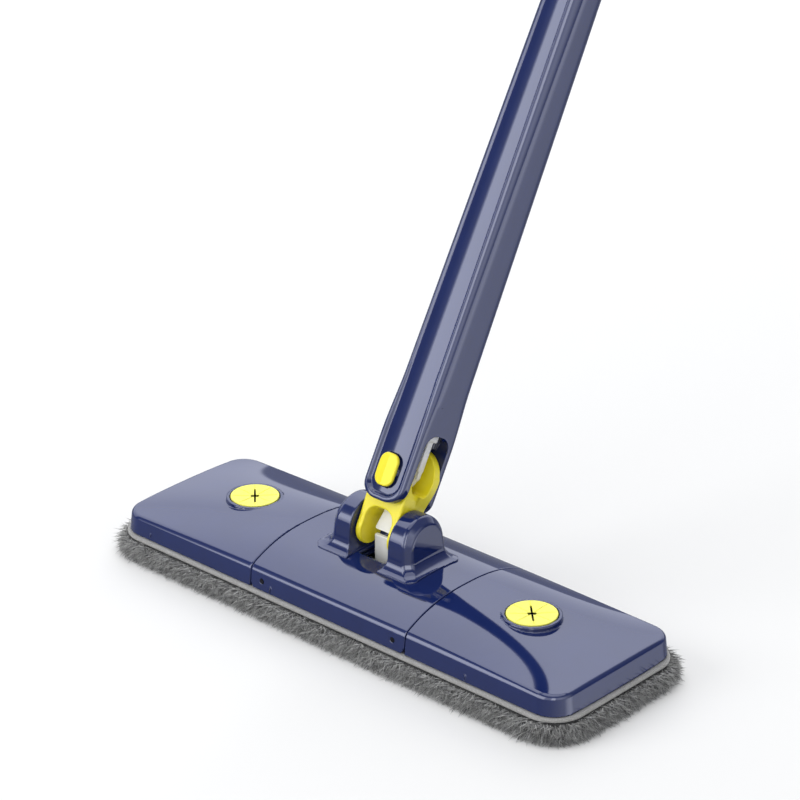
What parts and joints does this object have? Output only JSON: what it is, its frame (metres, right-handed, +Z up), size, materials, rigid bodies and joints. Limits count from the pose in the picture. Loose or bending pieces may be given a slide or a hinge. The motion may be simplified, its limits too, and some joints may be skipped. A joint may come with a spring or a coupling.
{
  "type": "flat mop",
  "caption": "Folding flat mop: three-panel plastic head on a plush pad, rag grippers, two-axis joint, tapered sleeve with release button and telescopic pole.",
  "frame": {"origin": "on the floor under the middle of the head, at the underside of the pad", "axes": "+X along the head, -Y to the front, +Z up; the handle leans back towards +Y"},
  "size_m": [0.354, 0.6473, 1.0858],
  "materials": {
    "navy_gloss": "high gloss",
    "navy_matte": "satin",
    "navy_grip": "soft touch",
    "yellow_gloss": "satin gloss",
    "yellow_rubber": "soft matte",
    "white_nylon": "satin",
    "black_plastic": "satin",
    "steel": "bright",
    "aluminium": "anodised satin",
    "grey_backing": "woven",
    "grey_pile": "plush"
  },
  "bodies": {
    "head": {"centre_cover": "navy_gloss", "centre_base": "navy_matte", "centre_pad_backing": "grey_backing", "centre_pad_pile": "grey_pile", "lift_guide": "navy_matte", "centre_screw_1": "steel", "centre_screw_2": "steel", "centre_screw_3": "steel", "centre_screw_4": "steel", "left_fold_pin": "steel", "right_fold_pin": "steel", "left_return_spring": "steel", "right_return_spring": "steel", "left_ear": "navy_gloss", "right_ear": "navy_gloss", "left_tilt_pin": "steel", "right_tilt_pin": "steel"},
    "left_wing": {"left_wing_cover": "navy_gloss", "left_wing_base": "navy_matte", "left_gripper_disc": "yellow_rubber", "left_gripper_ring": "navy_matte", "left_pad_backing": "grey_backing", "left_pad_pile": "grey_pile", "left_wing_screw_1": "steel", "left_wing_screw_2": "steel"},
    "right_wing": {"right_wing_cover": "navy_gloss", "right_wing_base": "navy_matte", "right_gripper_disc": "yellow_rubber", "right_gripper_ring": "navy_matte", "right_pad_backing": "grey_backing", "right_pad_pile": "grey_pile", "right_wing_screw_1": "steel", "right_wing_screw_2": "steel"},
    "lift": {"lift_bar": "white_nylon", "lower_connector": "white_nylon"},
    "link": {"joint_link": "yellow_gloss"},
    "link_connector": {"middle_connector": "white_nylon"},
    "sleeve": {"sleeve": "navy_gloss", "sleeve_bush": "black_plastic", "front_swivel_pin": "steel", "back_swivel_pin": "steel", "button_spring": "steel"},
    "button": {"release_button": "yellow_gloss"},
    "pole": {"pole": "aluminium", "pole_plug": "navy_gloss", "upper_connector": "white_nylon", "lock_bush": "white_nylon"},
    "collar": {"twist_collar": "navy_matte"},
    "upper_pole": {"upper_tube": "aluminium", "grip": "navy_grip", "tube_plug": "white_nylon"}
  },
  "joints": [
    {"name": "left_fold", "type": "hinge", "parent": "head", "child": "left_wing", "pos_m": [-0.05, 0, 0.02], "axis": [0, -1, 0], "range_deg": [0, 70], "stiffness_Nm_per_rad": 0.15, "springref_deg": -45.84},
    {"name": "right_fold", "type": "hinge", "parent": "head", "child": "right_wing", "pos_m": [0.05, 0, 0.02], "axis": [0, 1, 0], "range_deg": [0, 70], "stiffness_Nm_per_rad": 0.15, "springref_deg": -45.84},
    {"name": "lift_slide", "type": "slide", "parent": "head", "child": "lift", "axis": [0, 0, 1], "range_m": [0, 0.009]},
    {"name": "tilt", "type": "hinge", "parent": "head", "child": "link", "pos_m": [0, -0.003, 0.05], "axis": [-1, 0, 0], "range_deg": [-95, 40]},
    {"name": "connector_slide", "type": "slide", "parent": "link", "child": "link_connector", "axis": [0, 0.4894, 0.8721], "range_m": [0, 0.009]},
    {"name": "side_swivel", "type": "hinge", "parent": "link", "child": "sleeve", "pos_m": [0, 0.01413, 0.08052], "axis": [0, -0.8721, 0.4894], "range_deg": [-45, 45]},
    {"name": "button_press", "type": "slide", "parent": "sleeve", "child": "button", "axis": [0, 0.8721, -0.4894], "range_m": [0, 0.0012], "stiffness_N_per_m": 400, "springref_m": -0.001},
    {"name": "wring_pull", "type": "slide", "parent": "sleeve", "child": "pole", "axis": [0, 0.4894, 0.8721], "range_m": [0, 0.009]},
    {"name": "collar_twist", "type": "hinge", "parent": "pole", "child": "collar", "pos_m": [0, 0.35768, 0.69271], "axis": [0, 0.4894, 0.8721], "range_deg": [0, 90]},
    {"name": "telescope", "type": "slide", "parent": "pole", "child": "upper_pole", "axis": [0, 0.4894, 0.8721], "range_m": [-0.24, 0]}
  ],
  "couplings": [
    {"joint": "left_fold", "follows": "wring_pull", "rad_per_m": 135.7},
    {"joint": "right_fold", "follows": "wring_pull", "rad_per_m": 135.7},
    {"joint": "lift_slide", "follows": "wring_pull", "ratio": 1},
    {"joint": "connector_slide", "follows": "wring_pull", "ratio": 1}
  ]
}
